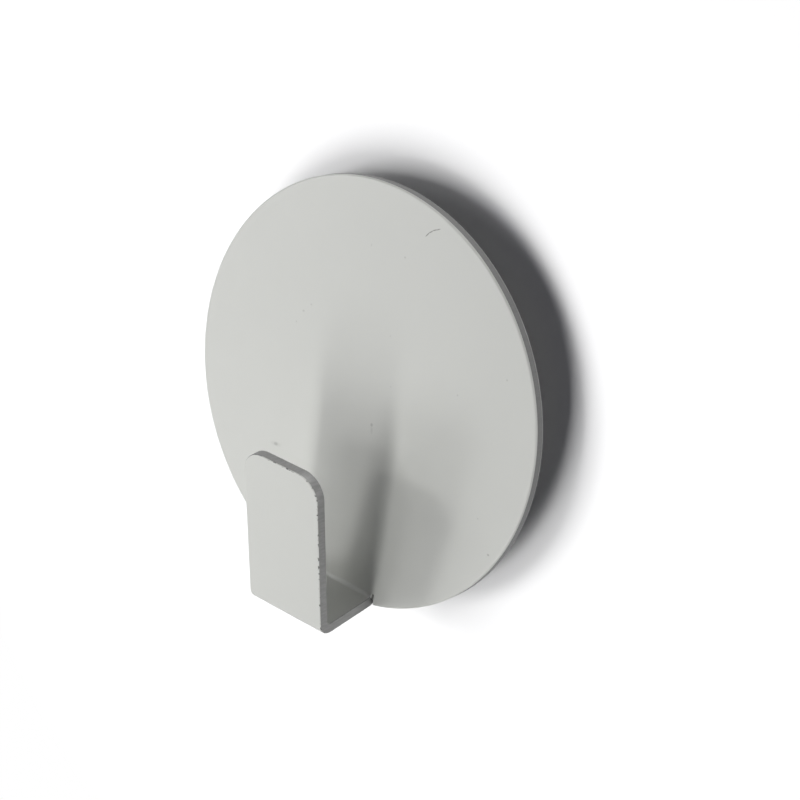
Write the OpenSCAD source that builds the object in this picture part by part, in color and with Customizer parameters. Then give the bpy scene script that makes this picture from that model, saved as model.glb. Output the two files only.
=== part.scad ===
// Magnetic hook for steel surfaces.
// A round sheet metal plate with a hook tab bent from its lower edge, carried by a flat pack of magnets.
// Millimetres. Z is up, the hook opens upward on the -Y side, and the contact face of the pack is at Y = 0.

/* [Hook plate] */
// Diameter of the round plate
plate_d = 50; // [46:1:80]
// Thickness of the sheet that the plate and the tab share
sheet_t = 1.2; // [0.8:0.1:2]
// Width of the hook tab
tab_w = 11.2; // [8:0.2:20]
// Clear depth along the shelf from the face of the plate to the lip
hook_depth = 7.4; // [4:0.1:16]
// Length of the lip from the underside of the shelf to its top edge
lip_h = 20.8; // [10:0.2:30]
// Angle by which the shelf falls and the lip leans outward, in degrees
hook_tilt = 10.8; // [0:0.2:25]
// Radius of the two top corners of the lip
lip_corner_r = 2.8; // [0.6:0.2:3.8]
// Inside radius of the two bends
bend_r = 0.5; // [0.2:0.1:1.5]
// Width of the relief slit on each side of the tab
relief_w = 0.3; // [0.2:0.1:1]
// Depth of the relief slits into the edge of the plate
relief_h = 1.5; // [1.2:0.1:3]

/* [Magnets] */
// Diameter of each magnet
magnet_d = 8; // [5:0.5:10]
// Thickness of each magnet
magnet_t = 3; // [2:0.1:5]
// Bevel on the edges of each magnet
magnet_bevel = 0.2; // [0.1:0.05:0.5]
// Clearance all around each magnet in its pocket
magnet_clearance = 0.05; // [0.02:0.01:0.2]
// Distance of the magnet faces behind the contact face
magnet_recess = 0.3; // [0.1:0.05:0.5]

/* [Magnet carrier] */
// Diameter of the carrier
carrier_d = 42; // [36:1:46]
// Wall from each magnet to the outside of the carrier
carrier_wall = 3.5; // [2.6:0.1:5]
// Width of the rim around the grip pad
rim_w = 1.2; // [0.8:0.1:1.8]
// Bevel on the outer edge of the rim
rim_bevel = 0.3; // [0.1:0.05:0.6]

/* [Pad and tapes] */
// Thickness of the grip pad
pad_t = 0.6; // [0.5:0.1:1.2]
// Height of the grip pad above the rim
pad_proud = 0.3; // [0.1:0.05:0.45]
// Clearance from the grip pad to the rim
pad_clearance = 0.2; // [0.1:0.05:0.5]
// Clearance from each magnet to the edge of its window in the pad
window_clearance = 0.4; // [0.2:0.1:0.6]
// Thickness of the tape under the grip pad
pad_tape_t = 0.1; // [0.05:0.05:0.3]
// Thickness of the tape between the carrier and the plate
plate_tape_t = 0.2; // [0.1:0.05:0.8]
// Distance of the plate tape's edge inside the carrier's edge
tape_inset = 0.5; // [0.2:0.1:2]

/* [Hidden] */
$fn = 128;

quarter_turn = 90;
full_turn = 4 * quarter_turn;
top_angle = quarter_turn;
down_angle = 3 * quarter_turn;
magnet_count = 6;
magnet_step = full_turn / magnet_count;

// Length by which a cutting shape runs past what it cuts
overcut = 1;

pad_stack_t = pad_t + pad_tape_t;
web_t = magnet_t + magnet_recess - pad_stack_t;
rim_h = pad_stack_t - pad_proud;
pocket_r = magnet_d / 2 + magnet_clearance;
window_r = magnet_d / 2 + window_clearance;
magnet_ring_r = carrier_d / 2 - carrier_wall - magnet_d / 2;
pad_r = carrier_d / 2 - rim_w - pad_clearance;
tape_r = carrier_d / 2 - tape_inset;

web_back_y = -pad_stack_t;
web_front_y = web_back_y - web_t;
plate_back_y = web_front_y - plate_tape_t;
plate_front_y = plate_back_y - sheet_t;

bend_outer_r = bend_r + sheet_t;
bend_y = plate_front_y - bend_r;
bend_z = relief_h - sqrt(pow(plate_d / 2, 2) - pow(tab_w / 2, 2));
shelf_len = hook_depth - 2 * bend_r;
lip_len = lip_h - bend_outer_r;

// Each bend runs on into the flat sheet by a few degrees, and its faces cross the flat faces there
inner_cross = 8;
outer_cross = 6;
bend_lap = (inner_cross + outer_cross) / 2;
flat_lap = (bend_r * tan(inner_cross) + bend_outer_r * tan(outer_cross)) / 2;
sector_reach = 2 * bend_outer_r;
tab_reach = hook_depth + 3 * bend_outer_r;

plate_colour = [0.81, 0.81, 0.79];
tape_colour = [0.88, 0.88, 0.86];
carrier_colour = [0.07, 0.07, 0.08];
magnet_colour = [0.72, 0.71, 0.69];
pad_colour = [0.17, 0.17, 0.18];

// Turns a solid built along +Z so that it runs along -Y, starting at the given Y
module toward_front(start_y) {
    translate([0, start_y, 0])
        rotate([quarter_turn, 0, 0])
            children();
}

// Turns a solid built along +Z so that it runs along +Y, starting at the given Y
module toward_back(start_y) {
    translate([0, start_y, 0])
        rotate([-quarter_turn, 0, 0])
            children();
}

// Copies a shape to each magnet position of a pattern drawn in a plane
module each_magnet() {
    for (i = [1 : magnet_count])
        rotate(top_angle + magnet_step * (i - 1))
            translate([magnet_ring_r, 0, 0])
                children();
}

// Side view of a piece of the tab, drawn from the centre of the root bend with the shelf level
// and the lip upright, tilted forward and made a little wider than the tab
module tab_strip() {
    translate([0, bend_y, bend_z])
        rotate([quarter_turn, 0, quarter_turn])
            linear_extrude(height = tab_w + 2 * overcut, center = true)
                rotate(hook_tilt)
                    children();
}

// Section through the curved sheet of one bend, from one angle to the other
module bend_section(from_angle, to_angle) {
    mid_angle = (from_angle + to_angle) / 2;
    intersection() {
        difference() {
            circle(r = bend_outer_r / cos(outer_cross));
            circle(r = bend_r / cos(inner_cross));
        }
        polygon([[0, 0], sector_reach * [cos(from_angle), sin(from_angle)],
            sector_reach * [cos(mid_angle), sin(mid_angle)],
            sector_reach * [cos(to_angle), sin(to_angle)]]);
    }
}

// Round plate, cut back where the tab leaves it
module round_plate() {
    difference() {
        toward_front(plate_back_y)
            cylinder(h = sheet_t, d = plate_d);
        translate([-tab_w / 2 - relief_w, plate_front_y - overcut, -plate_d / 2 - overcut])
            cube([tab_w + 2 * relief_w, sheet_t + 2 * overcut, bend_z - flat_lap + plate_d / 2 + overcut]);
    }
}

// Turn from the plate into the shelf
module root_bend() {
    tab_strip()
        bend_section(down_angle - bend_lap, full_turn - hook_tilt + bend_lap);
}

// Floor of the hook
module shelf() {
    tab_strip()
        translate([-shelf_len - flat_lap, -bend_outer_r])
            square([shelf_len + 2 * flat_lap, sheet_t]);
}

// Quarter turn from the shelf up into the lip
module lip_bend() {
    tab_strip()
        translate([-shelf_len, 0])
            bend_section(down_angle - quarter_turn - bend_lap, down_angle + bend_lap);
}

// Lip that keeps a hung loop on the shelf
module lip() {
    tab_strip()
        translate([-shelf_len - bend_outer_r, -flat_lap])
            square([sheet_t, lip_len + flat_lap + overcut]);
}

// Outline of the tab seen square to its lip, with two rounded top corners
module tab_outline() {
    translate([-tab_w / 2, -tab_reach])
        square([tab_w, tab_reach + lip_len - lip_corner_r]);
    translate([-tab_w / 2 + lip_corner_r, -tab_reach])
        square([tab_w - 2 * lip_corner_r, tab_reach + lip_len]);
    for (side = [-1, 1])
        translate([side * (tab_w / 2 - lip_corner_r), lip_len - lip_corner_r])
            circle(r = lip_corner_r);
}

// Bent tab, trimmed to its outline
module hook_tab() {
    intersection() {
        union() {
            root_bend();
            shelf();
            lip_bend();
            lip();
        }
        translate([0, bend_y, bend_z])
            rotate([quarter_turn + hook_tilt, 0, 0])
                translate([0, 0, -tab_reach])
                    linear_extrude(height = 2 * tab_reach)
                        tab_outline();
    }
}

// Plate, shelf and lip: one punched and bent piece of coated sheet
module hook_plate() {
    color(plate_colour)
        union() {
            round_plate();
            hook_tab();
        }
}

// Double-sided tape that bonds the magnet pack to the plate
module plate_tape() {
    color(tape_colour)
        toward_front(web_front_y)
            cylinder(h = plate_tape_t, r = tape_r);
}

// Section of the carrier: web, then the rim around the pad seat
module carrier_section() {
    polygon([[0, 0], [carrier_d / 2, 0], [carrier_d / 2, web_t + rim_h - rim_bevel],
        [carrier_d / 2 - rim_bevel, web_t + rim_h], [carrier_d / 2 - rim_w, web_t + rim_h],
        [carrier_d / 2 - rim_w, web_t], [0, web_t]]);
}

// Moulded carrier with a through pocket for each magnet
module magnet_carrier() {
    color(carrier_colour)
        difference() {
            toward_back(web_front_y)
                rotate_extrude()
                    carrier_section();
            toward_front(web_back_y + overcut)
                each_magnet()
                    cylinder(h = web_t + 2 * overcut, r = pocket_r);
        }
}

// Section of one magnet with its bevelled edges
module magnet_section() {
    polygon([[0, 0], [magnet_d / 2 - magnet_bevel, 0], [magnet_d / 2, magnet_bevel],
        [magnet_d / 2, magnet_t - magnet_bevel], [magnet_d / 2 - magnet_bevel, magnet_t], [0, magnet_t]]);
}

// One plated disc magnet, counted from the top of the ring
module magnet(index) {
    color(magnet_colour)
        toward_front(-magnet_recess)
            rotate(top_angle + magnet_step * (index - 1))
                translate([magnet_ring_r, 0, 0])
                    rotate_extrude()
                        magnet_section();
}

// Outline shared by the grip pad and its tape, with a window over each magnet
module pad_outline() {
    difference() {
        circle(r = pad_r);
        each_magnet()
            circle(r = window_r);
    }
}

// Thin tape that holds the grip pad on the carrier
module pad_tape() {
    color(tape_colour)
        toward_front(-pad_t)
            linear_extrude(height = pad_tape_t)
                pad_outline();
}

// Soft pad that touches the steel surface and keeps the hook from sliding
module grip_pad() {
    color(pad_colour)
        toward_front(0)
            linear_extrude(height = pad_t)
                pad_outline();
}

hook_plate();
plate_tape();
magnet_carrier();
for (i = [1 : magnet_count])
    magnet(i);
pad_tape();
grip_pad();
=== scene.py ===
import math

import bmesh
import bpy
from mathutils import Matrix, Vector


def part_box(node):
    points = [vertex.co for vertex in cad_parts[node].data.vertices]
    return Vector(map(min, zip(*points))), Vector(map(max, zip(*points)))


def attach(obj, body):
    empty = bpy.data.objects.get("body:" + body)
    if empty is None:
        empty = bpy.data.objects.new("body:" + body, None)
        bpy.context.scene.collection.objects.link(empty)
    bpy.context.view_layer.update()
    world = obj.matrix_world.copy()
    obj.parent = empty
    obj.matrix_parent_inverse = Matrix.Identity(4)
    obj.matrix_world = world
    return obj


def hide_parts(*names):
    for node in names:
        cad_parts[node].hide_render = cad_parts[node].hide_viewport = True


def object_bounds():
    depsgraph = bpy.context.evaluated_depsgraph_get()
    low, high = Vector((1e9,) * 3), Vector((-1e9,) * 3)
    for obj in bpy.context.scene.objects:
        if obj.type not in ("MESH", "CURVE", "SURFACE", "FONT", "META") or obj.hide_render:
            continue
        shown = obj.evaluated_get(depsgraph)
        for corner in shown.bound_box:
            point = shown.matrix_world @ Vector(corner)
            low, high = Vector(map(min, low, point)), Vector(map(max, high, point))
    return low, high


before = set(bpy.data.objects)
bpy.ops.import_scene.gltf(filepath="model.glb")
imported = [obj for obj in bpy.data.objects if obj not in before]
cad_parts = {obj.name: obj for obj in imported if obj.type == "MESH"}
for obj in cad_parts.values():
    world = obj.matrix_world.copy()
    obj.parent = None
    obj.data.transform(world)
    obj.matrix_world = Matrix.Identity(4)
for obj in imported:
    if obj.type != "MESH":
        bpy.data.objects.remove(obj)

cad_low, cad_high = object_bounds()

# Sizes of the hook plate, in metres
MM = 0.001
SHEET_T = 1.2 * MM
TAB_W = 11.2 * MM
HOOK_DEPTH = 7.4 * MM
LIP_H = 20.8 * MM
HOOK_TILT = math.radians(10.8)
LIP_CORNER_R = 2.8 * MM
BEND_R = 0.5 * MM
RELIEF_W = 0.3 * MM
RELIEF_H = 1.5 * MM
RIM_ROLL = 0.23 * MM
EDGE_ROLL = 0.09 * MM
NEAR = 0.01 * MM

# Wear along the cut edges. Depth in the sheet runs from 0 on the inner face of the hook
# to 1 on its outer face
WEAR_BAND = 0.3 * MM
LIP_WEAR = 0.88
RIM_WEAR = 0.66
MID_DEPTH = 0.5
DARK_ROLL_DEPTH = 0.99
FLAT_SLACK = 0.004

# Counts of segments on the hook plate, and the least angle of an edge that is rolled
PLATE_SEGMENTS = 240
BEND_STEPS = 10
CORNER_SEGMENTS = 16
RIM_SEGMENTS = 6
EDGE_SEGMENTS = 3
LEAST_EDGE = math.radians(60)

# Places that follow from the frame
PLATE_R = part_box("hook_plate")[1].z
PLATE_BACK_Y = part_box("plate_tape")[0].y
PLATE_FRONT_Y = PLATE_BACK_Y - SHEET_T
BEND_OUTER_R = BEND_R + SHEET_T
BEND_Z = RELIEF_H - math.sqrt(PLATE_R ** 2 - (TAB_W / 2) ** 2)
SHELF_LEN = HOOK_DEPTH - 2 * BEND_R
LIP_LEN = LIP_H - BEND_OUTER_R
LIP_UP = Vector((0, -math.sin(HOOK_TILT), math.cos(HOOK_TILT)))
SHELF_OUT = Vector((0, -math.cos(HOOK_TILT), -math.sin(HOOK_TILT)))
ROOT_BEND = Vector((0, PLATE_FRONT_Y - BEND_R, BEND_Z))
LIP_BEND = ROOT_BEND + SHELF_OUT * SHELF_LEN

# The grip pad on the back
PAD_LOW, PAD_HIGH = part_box("grip_pad")
PAD_R = PAD_HIGH.x
MAGNET_NODES = [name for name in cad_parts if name.startswith("magnet_") and name != "magnet_carrier"]
WINDOW_R = 4.4 * MM
PAD_ROLL = 0.12 * MM
PAD_SEGMENTS = 160
PAD_ROLL_SEGMENTS = 3
WINDOW_SEGMENTS = 56

# Weight at which only the largest faces at a point set its shading
LARGE_FACES_ONLY = 100

# Slots of the two finishes on the hook plate
COAT, CUT_EDGE = 0, 1

# The coat: colours, sizes of its patterns, and how rough it is
PAINT = (0.530, 0.537, 0.506, 1)
PAINT_SHADE = (0.510, 0.517, 0.488, 1)
PAINT_CLOUD = 14 * MM
GLOSS_CLOUD = 2 * MM
PAINT_ROUGH = (0.36, 0.44)
PEEL_SIZE = 0.9 * MM
PEEL_DEPTH = 0.006 * MM
SPECK_AND_BLEMISH_SHADE = (0.10, 0.095, 0.085, 1)
CHIP = (0.07, 0.07, 0.068, 1)
CHIP_SIZE = 0.36 * MM
CHIP_EDGE = (0.50, 0.54)

# Small marks on the face of the plate: a hair, a smudge, specks and the painted shade of a small blemish. In
# millimetres and degrees: right of the middle, above it, half length, half width, turn from level, and how
# dark
MARKS = (
    (6.7, 21.05, 0.48, 0.085, 51, 0.72),
    (7.1, 21.45, 0.46, 0.085, 37, 0.72),
    (7.6, 21.8, 0.46, 0.085, 27, 0.70),
    (8.05, 22, 0.40, 0.08, 28, 0.66),
    (-11.65, -10.35, 0.44, 0.27, 10, 0.40),
    (-11.65, -10.35, 1.05, 0.36, 8, 0.12),
    # These two are painted shade: the dark side of a small blemish in the coat
    (2.4, -2.75, 0.26, 0.22, 80, 0.36),
    (2.5, -3.4, 0.55, 0.2, 97, 0.15),
    (20.9, -11.4, 0.19, 0.17, 0, 0.40),
    (-9.65, 7.05, 0.22, 0.16, 30, 0.22),
    (4.05, 17.65, 0.17, 0.14, 0, 0.24),
    (19.85, 8.8, 0.16, 0.14, 0, 0.22),
    (-8.6, 8.15, 0.17, 0.13, 0, 0.20),
    (-10.55, 5.45, 0.14, 0.14, 0, 0.18),
    (13.7, 4.9, 0.14, 0.12, 0, 0.20),
    (-0.85, 17.6, 0.25, 0.11, 75, 0.14),
    (18.8, -7.85, 0.14, 0.13, 0, 0.18),
    (3.45, 8.3, 0.14, 0.12, 0, 0.14),
    (4.4, 2.6, 0.13, 0.12, 0, 0.14),
)
MARK_REACH = 0.5 * MM
MARK_EDGE = (1.1, 0.4)

# The cut edges: colours, with the rim's steel darker as painted shade from the plate and the wall close
# behind it and the tab's paler, the reach over which the rim's colour gives way to the tab's, the streaks
# across the sheet, and the depth at which it is torn
SHADED_RIM_STEEL = (0.165, 0.165, 0.161, 1)
LIT_TAB_STEEL = (0.27, 0.27, 0.264, 1)
TORN_STEEL = (0.06, 0.06, 0.059, 1)
RIM_SHADE_REACH = 3 * MM
STREAK_SIZE = 0.25 * MM
STREAK_STRETCH = (1, 0.2, 1)
STREAK_DEPTH = 0.03 * MM
STREAK_SPAN = (0.35, 0.65)
STREAK_SHADE = 0.25
TORN_BY_STREAKS = 0.30
TORN_EDGE = (1.06, 1.18)
STEEL_ROUGH = (0.45, 0.65)
STEEL_METAL = 0.3

# The pieces behind the plate
PLASTIC = (0.016, 0.016, 0.017, 1)
PLASTIC_PALE = (0.026, 0.026, 0.028, 1)
PLASTIC_CLOUD = 5 * MM
PLASTIC_GRAIN = 0.16 * MM
PLASTIC_ROUGH = (0.42, 0.60)
NICKEL_DULL = (0.50, 0.49, 0.47, 1)
NICKEL = (0.64, 0.635, 0.62, 1)
TARNISH_CLOUD = 3 * MM
NICKEL_ROUGH = (0.16, 0.36)
SCRATCH_SIZE = 0.08 * MM
SCRATCH_STRETCH = (0.06, 1, 1)
SCRATCH_SPAN = (0.35, 0.75)
SCRATCH_DEPTH = 0.006 * MM
FILM = (0.62, 0.61, 0.57, 1)
FILM_PALE = (0.74, 0.73, 0.70, 1)
FILM_CLOUD = 0.8 * MM
FILM_ROUGH = (0.45, 0.6)
FILM_DEPTH = 0.01 * MM
RUBBER = (0.032, 0.032, 0.034, 1)
RUBBER_DUST = (0.075, 0.074, 0.072, 1)
DUST_CLOUD = 6 * MM
DUST_SPAN = (0.45, 0.8)
RUBBER_GRAIN = 0.12 * MM
RUBBER_ROUGH = (0.72, 0.9)
MOULDED_DEPTH = 0.02 * MM

# Span of a noise pattern that is used, from its dark to its pale side
NOISE_SPAN = (0.3, 0.7)

# Places of the two inputs and of the output on a Mix node, for each kind of value
MIX_SOCKETS = {"FLOAT": (2, 3, 0), "RGBA": (6, 7, 2)}

# The backdrop, the fill light and the rear lamp
WALL_GAP = 0.05 * MM
WALL_Y = cad_high.y + WALL_GAP
WALL_TOP = 0.6
FLOOR_Z = -0.35
SWEEP_R = 0.15
SWEEP_STEPS = 24
BACKDROP_W = 2.4
BACKDROP = (0.6, 0.6, 0.6, 1)
PAPER_SPAN = (0.06, 0.09)
FILL = (0.87, 0.865, 1.0, 1)
FILL_STRENGTH = 0.107
WHITE = (1, 1, 1, 1)
WHITE_STRENGTH = 1.0
REAR_LAMP_DISTANCE = 0.5
REAR_LAMP_SIZE = 0.25
REAR_LAMP_POWER = 1.7

# Lamps on the hook: name, direction from the plate, distance, width, height, power and roll
LAMPS = (
    ("front_strip", (-0.05, -1, -0.42), 0.35, 0.035, 0.1, 0.198, 0),
    ("low_strip", (0.02, -1, -0.93), 0.35, 0.05, 0.17, 0.335, 0),
    ("middle_strip", (-0.23, -1, -0.05), 0.35, 0.13, 0.05, 0.2, -42),
    ("left_spot", (-0.58, -1, -0.18), 0.35, 0.08, 0.08, 0.037, 0),
    ("near_left", (-0.77, -1, 0.14), 0.2, 0.026, 0.02, 0.044, 0),
    ("far_left", (-1.04, -1, 0.21), 0.35, 0.1, 0.08, 0.182, 0),
    ("low_left", (-1.19, -1, -0.51), 0.35, 0.1, 0.26, 0.185, 0),
    ("right_glow", (1, -0.07, 0.01), 0.35, 0.1, 0.2, 0.5, 0),
    ("top_glow", (0, 0.2, 1), 0.35, 0.2, 0.06, 0.56, 0),
)

# One more lamp on the hook, which the coat doesn't mirror
DULL_LAMP = ("dull_left", (-0.91, -1, -0.70), 0.35, 0.045, 0.09, 0.096, 0)

# Lamps on the wall alone
WALL_LAMPS = (
    ("wall_lamp_low", (-0.3, -1, -0.85), 1.2, 0.52, 0.75, 17.4, 0),
    ("wall_lamp_left", (-0.8, -1, -0.25), 1.2, 0.52, 0.52, 16, 0),
    ("wall_lamp_far", (-1.4, -1, 0.2), 1.2, 0.52, 0.52, 2.6, 0),
)

# View of the photograph
CAMERA_AIM = Vector((5.96 * MM, PLATE_FRONT_Y, 1.57 * MM))
CAMERA_DISTANCE = 221.6 * MM
CAMERA_ASIDE = math.radians(38.19)
CAMERA_ABOVE = math.radians(21.67)
CAMERA_ROLL = math.radians(7.61)
CAMERA_LENS = 90
CAMERA_SENSOR = 36
CAMERA_CLIP = 10 * MM


def join_to_scene(name, data):
    piece = bpy.data.objects.new(name, data)
    bpy.context.scene.collection.objects.link(piece)
    return piece


def piece_from(bm, name, finishes):
    mesh = bpy.data.meshes.new(name)
    bm.to_mesh(mesh)
    bm.free()
    for finish in finishes:
        mesh.materials.append(finish)
    return join_to_scene(name, mesh)


def soften_shading(piece):
    """Smooth rolls beside flat faces that stay flat."""
    for face in piece.data.polygons:
        face.use_smooth = True
    weighted = piece.modifiers.new("even_shading", "WEIGHTED_NORMAL")
    weighted.weight = LARGE_FACES_ONLY
    weighted.keep_sharp = False


def each_once(parts):
    """The parts in their order, without repeats."""
    return list(dict.fromkeys(parts))


def outer_edges(bm):
    return [edge for edge in bm.edges if edge.is_manifold and edge.calc_face_angle_signed() > LEAST_EDGE]


def roll_edges(bm, edges, width, segments):
    return bmesh.ops.bevel(bm, geom=edges, offset=width, offset_type="OFFSET", segments=segments,
                           profile=0.5, affect="EDGES", clamp_overlap=False, material=-1)["faces"]


# Nodes of the finishes

def new_finish(name):
    finish = bpy.data.materials.new(name)
    finish.use_nodes = True
    tree = finish.node_tree
    return finish, tree, tree.nodes["Principled BSDF"]


def feed(tree, socket, value):
    """Links a socket to another one, or sets it to a plain value."""
    if isinstance(value, bpy.types.NodeSocket):
        tree.links.new(value, socket)
    else:
        socket.default_value = value


def object_place(tree):
    return tree.nodes.new("ShaderNodeTexCoord").outputs["Object"]


def stretched_place(tree, stretch):
    mapping = tree.nodes.new("ShaderNodeMapping")
    mapping.inputs["Scale"].default_value = stretch
    tree.links.new(object_place(tree), mapping.inputs["Vector"])
    return mapping.outputs["Vector"]


def grain(tree, place, size, detail=2.0, roughness=0.5):
    noise = tree.nodes.new("ShaderNodeTexNoise")
    tree.links.new(place, noise.inputs["Vector"])
    noise.inputs["Scale"].default_value = 1 / size
    noise.inputs["Detail"].default_value = detail
    noise.inputs["Roughness"].default_value = roughness
    return noise.outputs["Fac"]


def reckon(tree, operation, first, second):
    sums = tree.nodes.new("ShaderNodeMath")
    sums.operation = operation
    feed(tree, sums.inputs[0], first)
    feed(tree, sums.inputs[1], second)
    return sums.outputs[0]


def remap(tree, value, span, to_low=0.0, to_high=1.0):
    """Carries a span of values over to another one, with soft ends."""
    change = tree.nodes.new("ShaderNodeMapRange")
    change.interpolation_type = "SMOOTHSTEP"
    tree.links.new(value, change.inputs["Value"])
    change.inputs["From Min"].default_value, change.inputs["From Max"].default_value = span
    change.inputs["To Min"].default_value = to_low
    change.inputs["To Max"].default_value = to_high
    return change.outputs["Result"]


def length_of(tree, vector):
    measure = tree.nodes.new("ShaderNodeVectorMath")
    measure.operation = "LENGTH"
    tree.links.new(vector, measure.inputs[0])
    return measure.outputs["Value"]


def blend(tree, kind, share, first, second):
    first_socket, second_socket, result = MIX_SOCKETS[kind]
    mix = tree.nodes.new("ShaderNodeMix")
    mix.data_type = kind
    feed(tree, mix.inputs[0], share)
    feed(tree, mix.inputs[first_socket], first)
    feed(tree, mix.inputs[second_socket], second)
    return mix.outputs[result]


def blend_colours(tree, share, first, second):
    return blend(tree, "RGBA", share, first, second)


def blend_numbers(tree, share, first, second):
    return blend(tree, "FLOAT", share, first, second)


def blend_shaders(tree, share, first, second):
    mix = tree.nodes.new("ShaderNodeMixShader")
    tree.links.new(share, mix.inputs[0])
    tree.links.new(first.outputs[0], mix.inputs[1])
    tree.links.new(second.outputs[0], mix.inputs[2])
    return mix


def piece_value(tree, name):
    attribute = tree.nodes.new("ShaderNodeAttribute")
    attribute.attribute_name = name
    return attribute.outputs["Fac"]


def tint(tree, surface, colour):
    tree.links.new(colour, surface.inputs["Base Color"])


def roughen(tree, surface, pattern, rough, span=NOISE_SPAN):
    tree.links.new(remap(tree, pattern, span, *rough), surface.inputs["Roughness"])


def relief(tree, surface, height, depth):
    bump = tree.nodes.new("ShaderNodeBump")
    bump.inputs["Strength"].default_value = 1.0
    bump.inputs["Distance"].default_value = depth
    tree.links.new(height, bump.inputs["Height"])
    tree.links.new(bump.outputs["Normal"], surface.inputs["Normal"])


# Finishes

def marks_on_face(tree):
    """How dark the few small marks are, each a soft ellipse on the front of the plate: a hair, a smudge,
    specks and the painted shade of a small blemish.
    """
    darkness = 0.0
    for right, above, length, width, turn, share in MARKS:
        local = tree.nodes.new("ShaderNodeMapping")
        local.vector_type = "TEXTURE"
        local.inputs["Location"].default_value = (right * MM, PLATE_FRONT_Y, above * MM)
        local.inputs["Rotation"].default_value = (0, -math.radians(turn), 0)
        local.inputs["Scale"].default_value = (length * MM, MARK_REACH, width * MM)
        tree.links.new(object_place(tree), local.inputs["Vector"])
        mark = remap(tree, length_of(tree, local.outputs["Vector"]), MARK_EDGE, 0, share)
        darkness = reckon(tree, "MAXIMUM", mark, darkness)
    return darkness


def paint_finish():
    """Smooth satin coat with a few small marks, one pair the painted shade of a small blemish, torn in small
    bites along the cut edges.
    """
    finish, tree, surface = new_finish("off_white_coat")
    place = object_place(tree)
    colour = blend_colours(tree, grain(tree, place, PAINT_CLOUD), PAINT_SHADE, PAINT)
    colour = blend_colours(tree, marks_on_face(tree), colour, SPECK_AND_BLEMISH_SHADE)
    ragged = grain(tree, place, CHIP_SIZE, detail=3, roughness=0.6)
    bitten = reckon(tree, "MULTIPLY", piece_value(tree, "edge_wear"), ragged)
    chipped = remap(tree, bitten, CHIP_EDGE)
    tint(tree, surface, blend_colours(tree, chipped, colour, CHIP))
    roughen(tree, surface, grain(tree, place, GLOSS_CLOUD), PAINT_ROUGH)
    peel = grain(tree, place, PEEL_SIZE, detail=1)
    relief(tree, surface, blend_numbers(tree, chipped, peel, 0.0), PEEL_DEPTH)
    return finish


def cut_edge_finish():
    """Bare sheared steel with streaks across the sheet, torn and darker along its outer face, with painted
    shade that darkens it towards the plate.
    """
    finish, tree, surface = new_finish("bare_cut_edge")
    along = tree.nodes.new("ShaderNodeSeparateXYZ")
    tree.links.new(object_place(tree), along.inputs[0])
    shade_near_wall = remap(tree, along.outputs["Y"], (PLATE_FRONT_Y - RIM_SHADE_REACH, PLATE_FRONT_Y))
    streaks = grain(tree, stretched_place(tree, STREAK_STRETCH), STREAK_SIZE, detail=3)
    ragged = reckon(tree, "MULTIPLY", streaks, TORN_BY_STREAKS)
    torn = remap(tree, reckon(tree, "ADD", piece_value(tree, "sheet_depth"), ragged), TORN_EDGE)
    # The rim's steel is painted darker than the tab's: painted shade near the plate and the wall
    colour = blend_colours(tree, shade_near_wall, LIT_TAB_STEEL, SHADED_RIM_STEEL)
    colour = blend_colours(tree, remap(tree, streaks, STREAK_SPAN, STREAK_SHADE, 0.0), colour, TORN_STEEL)
    tint(tree, surface, blend_colours(tree, torn, colour, TORN_STEEL))
    surface.inputs["Metallic"].default_value = STEEL_METAL
    roughen(tree, surface, streaks, STEEL_ROUGH)
    relief(tree, surface, streaks, STREAK_DEPTH)
    return finish


def carrier_finish():
    """Black moulded plastic with a fine spark-eroded grain."""
    finish, tree, surface = new_finish("black_moulded_plastic")
    place = object_place(tree)
    fine = grain(tree, place, PLASTIC_GRAIN, detail=3)
    tint(tree, surface, blend_colours(tree, grain(tree, place, PLASTIC_CLOUD), PLASTIC, PLASTIC_PALE))
    roughen(tree, surface, fine, PLASTIC_ROUGH)
    relief(tree, surface, fine, MOULDED_DEPTH)
    return finish


def magnet_finish():
    """Nickel plate with fine handling scratches and a faint tarnish."""
    finish, tree, surface = new_finish("nickel_plate")
    tarnish = grain(tree, object_place(tree), TARNISH_CLOUD, detail=4)
    scratches = grain(tree, stretched_place(tree, SCRATCH_STRETCH), SCRATCH_SIZE)
    tint(tree, surface, blend_colours(tree, tarnish, NICKEL_DULL, NICKEL))
    surface.inputs["Metallic"].default_value = 1.0
    roughen(tree, surface, scratches, NICKEL_ROUGH, SCRATCH_SPAN)
    relief(tree, surface, scratches, SCRATCH_DEPTH)
    return finish


def tape_finish():
    """Milky film, a little cloudy."""
    finish, tree, surface = new_finish("milky_tape")
    cloud = grain(tree, object_place(tree), FILM_CLOUD, detail=3)
    tint(tree, surface, blend_colours(tree, cloud, FILM, FILM_PALE))
    roughen(tree, surface, cloud, FILM_ROUGH)
    relief(tree, surface, cloud, FILM_DEPTH)
    return finish


def rubber_finish():
    """Dark matt rubber, a little dusty."""
    finish, tree, surface = new_finish("dark_rubber")
    place = object_place(tree)
    fine = grain(tree, place, RUBBER_GRAIN, detail=3)
    dust = remap(tree, grain(tree, place, DUST_CLOUD, detail=5, roughness=0.65), DUST_SPAN)
    tint(tree, surface, blend_colours(tree, dust, RUBBER, RUBBER_DUST))
    roughen(tree, surface, fine, RUBBER_ROUGH)
    relief(tree, surface, fine, MOULDED_DEPTH)
    return finish


# Hook plate

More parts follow.
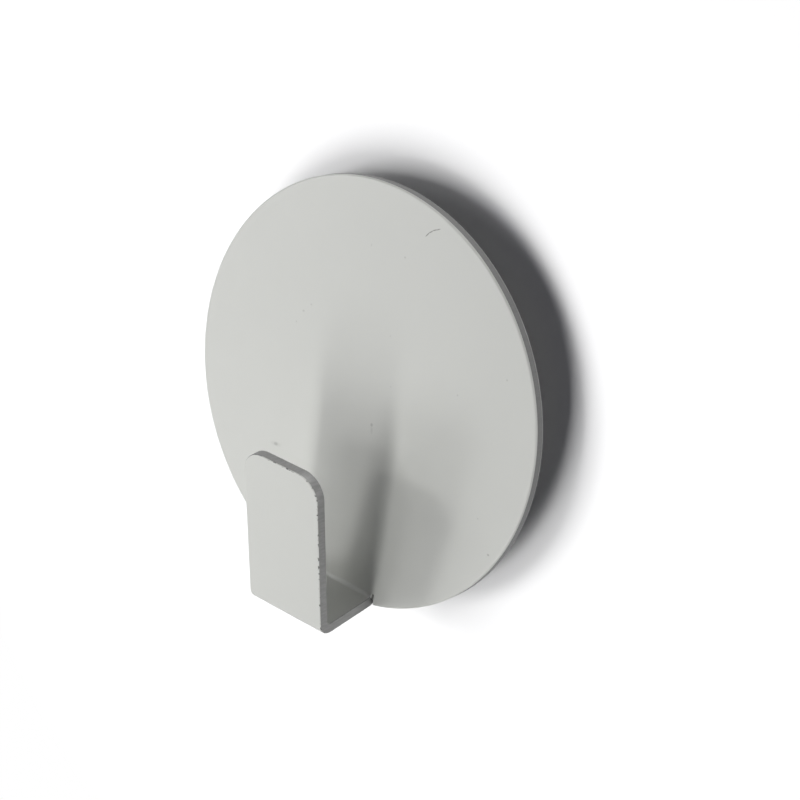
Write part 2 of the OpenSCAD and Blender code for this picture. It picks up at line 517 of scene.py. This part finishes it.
def flat_plate(plate_y):
    """One face of the round plate, with the notch that the tab leaves."""
    bm = bmesh.new()
    bmesh.ops.create_circle(bm, cap_ends=True, cap_tris=False, segments=PLATE_SEGMENTS, radius=PLATE_R)
    bmesh.ops.rotate(bm, verts=bm.verts, matrix=Matrix.Rotation(math.pi / 2, 3, "X"))
    bmesh.ops.translate(bm, verts=bm.verts, vec=(0, plate_y, 0))
    bmesh.ops.bisect_plane(bm, geom=bm.verts[:] + bm.edges[:] + bm.faces[:],
                           plane_co=(0, 0, BEND_Z), plane_no=(0, 0, 1))
    for cut_x in (-TAB_W / 2 - RELIEF_W, -TAB_W / 2, TAB_W / 2, TAB_W / 2 + RELIEF_W):
        low_faces = [face for face in bm.faces if face.calc_center_median().z < BEND_Z]
        low_edges = each_once(edge for face in low_faces for edge in face.edges)
        low_verts = each_once(vert for face in low_faces for vert in face.verts)
        bmesh.ops.bisect_plane(bm, geom=low_faces + low_edges + low_verts,
                               plane_co=(cut_x, 0, 0), plane_no=(1, 0, 0))
    notch = [face for face in bm.faces if face.calc_center_median().z < BEND_Z
             and abs(face.calc_center_median().x) < TAB_W / 2 + RELIEF_W]
    bmesh.ops.delete(bm, geom=notch, context="FACES")
    inner = [edge for edge in bm.edges if len(edge.link_faces) == 2]
    bmesh.ops.dissolve_edges(bm, edges=inner, use_verts=False)
    return bm


def push_on(bm, geometry, step):
    """Extrudes edges by one step and gives the new edges and vertices."""
    edges = [part for part in geometry if isinstance(part, bmesh.types.BMEdge)]
    grown = bmesh.ops.extrude_edge_only(bm, edges=edges)["geom"]
    verts = [part for part in grown if isinstance(part, bmesh.types.BMVert)]
    new_edges = [part for part in grown if isinstance(part, bmesh.types.BMEdge)
                 and all(vert in verts for vert in part.verts)]
    bmesh.ops.translate(bm, verts=verts, vec=step)
    return new_edges + verts


def bend_tab(bm):
    """Carries the edge of the notch round the two bends and up the lip."""
    root = [edge for edge in bm.edges
            if all(abs(v.co.z - BEND_Z) < NEAR and abs(v.co.x) < TAB_W / 2 + NEAR for v in edge.verts)]
    front = root + each_once(vert for edge in root for vert in edge.verts)
    bend = bmesh.ops.spin(bm, geom=front, cent=ROOT_BEND, axis=(1, 0, 0),
                          angle=HOOK_TILT - math.pi / 2, steps=BEND_STEPS)
    front = push_on(bm, bend["geom_last"], SHELF_OUT * SHELF_LEN)
    bend = bmesh.ops.spin(bm, geom=front, cent=LIP_BEND, axis=(1, 0, 0),
                          angle=-math.pi / 2, steps=BEND_STEPS)
    front = push_on(bm, bend["geom_last"], LIP_UP * LIP_LEN)
    corners = [part for part in front if isinstance(part, bmesh.types.BMVert)]
    bmesh.ops.bevel(bm, geom=corners, offset=LIP_CORNER_R, offset_type="OFFSET", segments=CORNER_SEGMENTS,
                    profile=0.5, affect="VERTICES", clamp_overlap=False, material=-1)


def depth_in_sheet(place):
    """0 on the inner face of the hook, 1 on its outer face."""
    from_root = Vector((0, place.y, place.z)) - ROOT_BEND
    ahead = from_root.dot(SHELF_OUT)
    above = from_root.dot(LIP_UP)
    in_tab = abs(place.x) < (TAB_W + RELIEF_W) / 2 and place.z < BEND_Z
    if ahead > SHELF_LEN and above > 0:
        return (ahead - SHELF_LEN - BEND_R) / SHEET_T
    if ahead > SHELF_LEN:
        return (math.hypot(ahead - SHELF_LEN, above) - BEND_R) / SHEET_T
    if in_tab and ahead > 0:
        return (-above - BEND_R) / SHEET_T
    if in_tab:
        return (from_root.length - BEND_R) / SHEET_T
    return (place.y - PLATE_FRONT_Y) / SHEET_T


def in_slit(place):
    """Whether a cut face lies in a slit beside the tab, where the bend hasn't left the plate yet."""
    beside_tab = abs(place.x) < TAB_W / 2 + RELIEF_W + NEAR and place.z < BEND_Z + NEAR
    return beside_tab and place.y > PLATE_FRONT_Y + BEND_R / 2


def on_left(place):
    return place.x < LIP_CORNER_R - TAB_W / 2


def dark_edge_roll(place):
    """Whether a rolled edge of the tab takes the dark cut-edge finish: all of it inside the hook, where the
    edge is bare, and most of it on the left, where it draws a dark outline along the lip.
    """
    depth = depth_in_sheet(place)
    on_tab = place.y < PLATE_FRONT_Y - EDGE_ROLL
    return on_tab and (depth < MID_DEPTH or depth < DARK_ROLL_DEPTH and on_left(place))


def on_front_rim(place):
    on_front = abs(place.y - PLATE_FRONT_Y) < NEAR
    return on_front and math.hypot(place.x, place.z) > PLATE_R - WEAR_BAND


def front_rim(bm):
    return [edge for edge in outer_edges(bm) if all(on_front_rim(vert.co) for vert in edge.verts)]


def wear_at(place, depth):
    """How far the coat is torn at a cut edge: most along the top and the right of the lip's outer face."""
    if place.y > PLATE_FRONT_Y - NEAR:
        return RIM_WEAR
    return LIP_WEAR if depth > MID_DEPTH and not on_left(place) else 0


def mark_sheet(bm):
    """Notes for the finishes how deep in the sheet a point lies and how far the coat is torn there."""
    depth = bm.verts.layers.float.new("sheet_depth")
    wear = bm.verts.layers.float.new("edge_wear")
    for vert in bm.verts:
        vert[depth] = depth_in_sheet(vert.co)
        vert[wear] = wear_at(vert.co, vert[depth])
    for side in (0, 1):
        flats = [face for face in bm.faces
                 if all(abs(vert[depth] - side) < FLAT_SLACK for vert in face.verts)]
        bmesh.ops.inset_region(bm, faces=flats, thickness=WEAR_BAND, use_even_offset=True, use_boundary=True)
        for vert in each_once(vert for face in flats for vert in face.verts):
            vert[depth] = side
            vert[wear] = 0


def hook_plate_piece():
    """Plate, shelf and lip: one punched and bent piece of coated sheet."""
    bm = flat_plate(PLATE_FRONT_Y)
    bend_tab(bm)
    outer = flat_plate(PLATE_BACK_Y)
    bend_tab(outer)
    outer_mesh = bpy.data.meshes.new("outer_face")
    outer.to_mesh(outer_mesh)
    outer.free()
    bm.from_mesh(outer_mesh)
    bpy.data.meshes.remove(outer_mesh)
    rims = [edge for edge in bm.edges if edge.is_boundary]
    # Cut faces in the slits beside the tab take the pale coat, as painted light that lifts the deep shade
    # there
    for face in bmesh.ops.bridge_loops(bm, edges=rims)["faces"]:
        face.material_index = COAT if in_slit(face.calc_center_median()) else CUT_EDGE
    bmesh.ops.recalc_face_normals(bm, faces=bm.faces)
    for face in roll_edges(bm, front_rim(bm), RIM_ROLL, RIM_SEGMENTS):
        face.material_index = COAT
    for face in roll_edges(bm, outer_edges(bm), EDGE_ROLL, EDGE_SEGMENTS):
        face.material_index = CUT_EDGE if dark_edge_roll(face.calc_center_median()) else COAT
    mark_sheet(bm)
    plate = piece_from(bm, "bent_hook_plate", [paint_finish(), cut_edge_finish()])
    soften_shading(plate)
    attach(plate, "root")
    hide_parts("hook_plate")


# Magnet pack

def grip_pad_piece():
    """Rubber pad with a window over each magnet and soft edges."""
    bm = bmesh.new()
    bmesh.ops.create_circle(bm, segments=PAD_SEGMENTS, radius=PAD_R)
    for name in MAGNET_NODES:
        low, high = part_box(name)
        middle = (low + high) / 2
        bmesh.ops.create_circle(bm, segments=WINDOW_SEGMENTS, radius=WINDOW_R,
                                matrix=Matrix.Translation((middle.x, middle.z, 0)))
    bmesh.ops.triangle_fill(bm, use_beauty=True, edges=bm.edges[:])
    bmesh.ops.rotate(bm, verts=bm.verts, matrix=Matrix.Rotation(math.pi / 2, 3, "X"))
    grown = bmesh.ops.extrude_face_region(bm, geom=bm.faces[:])["geom"]
    bmesh.ops.translate(bm, verts=[part for part in grown if isinstance(part, bmesh.types.BMVert)],
                        vec=(0, PAD_LOW.y, 0))
    bmesh.ops.recalc_face_normals(bm, faces=bm.faces)
    roll_edges(bm, outer_edges(bm), PAD_ROLL, PAD_ROLL_SEGMENTS)
    pad = piece_from(bm, "soft_grip_pad", [rubber_finish()])
    soften_shading(pad)
    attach(pad, "root")
    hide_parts("grip_pad")


def dress(name, finish):
    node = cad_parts[name]
    node.data.materials.clear()
    node.data.materials.append(finish)


def dress_pack():
    """Gives the moulded, plated and film pieces behind the plate their finishes."""
    dress("magnet_carrier", carrier_finish())
    plating = magnet_finish()
    for name in MAGNET_NODES:
        dress(name, plating)
    film = tape_finish()
    dress("plate_tape", film)
    dress("pad_tape", film)


# Stage

def backdrop_finish():
    """Plain pale paper near the hook, which takes its shadow, and plain white for the eye farther off."""
    finish, tree, surface = new_finish("pale_backdrop")
    tree.nodes.remove(surface)
    paper = tree.nodes.new("ShaderNodeBsdfDiffuse")
    paper.inputs["Color"].default_value = BACKDROP
    white = tree.nodes.new("ShaderNodeEmission")
    far = remap(tree, length_of(tree, object_place(tree)), PAPER_SPAN)
    to_eye = tree.nodes.new("ShaderNodeLightPath").outputs["Is Camera Ray"]
    behind = tree.nodes.new("ShaderNodeNewGeometry").outputs["Backfacing"]
    clear = tree.nodes.new("ShaderNodeBsdfTransparent")
    front = blend_shaders(tree, reckon(tree, "MULTIPLY", far, to_eye), paper, white)
    either = blend_shaders(tree, behind, front, clear)
    tree.links.new(either.outputs[0], tree.nodes["Material Output"].inputs["Surface"])
    return finish


def backdrop():
    """Pale wall behind the hook that runs in one sweep into a pale floor. From behind, it is clear."""
    bm = bmesh.new()
    ends = [bm.verts.new((side * BACKDROP_W / 2, WALL_Y, WALL_TOP)) for side in (-1, 1)]
    front = [bm.edges.new(ends)] + ends
    front = push_on(bm, front, Vector((0, 0, FLOOR_Z + SWEEP_R - WALL_TOP)))
    sweep = bmesh.ops.spin(bm, geom=front, cent=(0, WALL_Y - SWEEP_R, FLOOR_Z + SWEEP_R), axis=(1, 0, 0),
                           angle=-math.pi / 2, steps=SWEEP_STEPS)
    push_on(bm, sweep["geom_last"], Vector((0, -BACKDROP_W, 0)))
    for face in bm.faces:
        face.smooth = True
        if face.normal.dot(Vector((0, -1, 1))) < 0:
            face.normal_flip()
    sheet = piece_from(bm, "wall_and_floor", [backdrop_finish()])
    sheet.visible_shadow = False
    sheet.visible_diffuse = False
    sheet.visible_glossy = False
    sheet.visible_transmission = False
    return sheet


def lamp_group(name, piece, state):
    """Group that keeps lamps on this piece, or off it."""
    group = bpy.data.collections.new(name)
    group.objects.link(piece)
    group.collection_objects[0].light_linking.link_state = state
    return group


def soft_lamp(group, name, toward, distance, width, height, power, roll):
    """Soft lamp in that direction from the middle of the plate's face, rolled by so many degrees."""
    toward = Vector(toward).normalized()
    light = bpy.data.lights.new(name, "AREA")
    light.shape = "RECTANGLE"
    light.size = width
    light.size_y = height
    light.energy = power
    lamp = join_to_scene(name, light)
    lamp.light_linking.receiver_collection = group
    look = (-toward).to_track_quat("-Z", "Y").to_matrix().to_4x4()
    place = Matrix.Translation(Vector((0, PLATE_FRONT_Y, 0)) + toward * distance)
    lamp.matrix_world = place @ look @ Matrix.Rotation(math.radians(roll), 4, "Z")
    return lamp


def rear_lamp(group):
    """Soft lamp behind the wall, for the magnets and the pad."""
    light = bpy.data.lights.new("rear_lamp", "AREA")
    light.size = REAR_LAMP_SIZE
    light.energy = REAR_LAMP_POWER
    light.cycles.max_bounces = 0
    lamp = join_to_scene("rear_lamp", light)
    lamp.light_linking.receiver_collection = group
    lamp.visible_glossy = False
    lamp.location = (0, REAR_LAMP_DISTANCE, 0)
    lamp.rotation_euler = (math.pi / 2, 0, math.pi)


def room_light():
    """Even fill light, with a white room for the eye and for reflections."""
    world = bpy.data.worlds.new("white_room")
    bpy.context.scene.world = world
    world.use_nodes = True
    tree = world.node_tree
    fill = tree.nodes["Background"]
    fill.inputs["Color"].default_value = FILL
    fill.inputs["Strength"].default_value = FILL_STRENGTH
    white = tree.nodes.new("ShaderNodeBackground")
    white.inputs["Color"].default_value = WHITE
    white.inputs["Strength"].default_value = WHITE_STRENGTH
    path = tree.nodes.new("ShaderNodeLightPath")
    seen = reckon(tree, "MAXIMUM", path.outputs["Is Camera Ray"], path.outputs["Is Glossy Ray"])
    seen = reckon(tree, "MAXIMUM", seen, path.outputs["Is Transmission Ray"])
    either = blend_shaders(tree, seen, fill, white)
    tree.links.new(either.outputs[0], tree.nodes["World Output"].inputs["Surface"])


def photo_camera():
    lens = bpy.data.cameras.new("photo_view")
    lens.sensor_width = CAMERA_SENSOR
    lens.lens = CAMERA_LENS
    lens.clip_start = CAMERA_CLIP
    camera = join_to_scene("photo_view", lens)
    turn = (Matrix.Rotation(CAMERA_ASIDE, 4, "Z") @ Matrix.Rotation(math.pi / 2 - CAMERA_ABOVE, 4, "X")
            @ Matrix.Rotation(CAMERA_ROLL, 4, "Z"))
    back = turn.to_3x3() @ Vector((0, 0, 1))
    camera.matrix_world = Matrix.Translation(CAMERA_AIM + back * CAMERA_DISTANCE) @ turn
    bpy.context.scene.camera = camera


hook_plate_piece()
grip_pad_piece()
dress_pack()
sheet = backdrop()
off_backdrop = lamp_group("off_backdrop", sheet, "EXCLUDE")
on_backdrop = lamp_group("on_backdrop", sheet, "INCLUDE")
room_light()
for lamp in LAMPS:
    soft_lamp(off_backdrop, *lamp)
soft_lamp(off_backdrop, *DULL_LAMP).visible_glossy = False
for lamp in WALL_LAMPS:
    soft_lamp(on_backdrop, *lamp)
rear_lamp(off_backdrop)
photo_camera()
bpy.context.scene.view_settings.view_transform = "Standard"
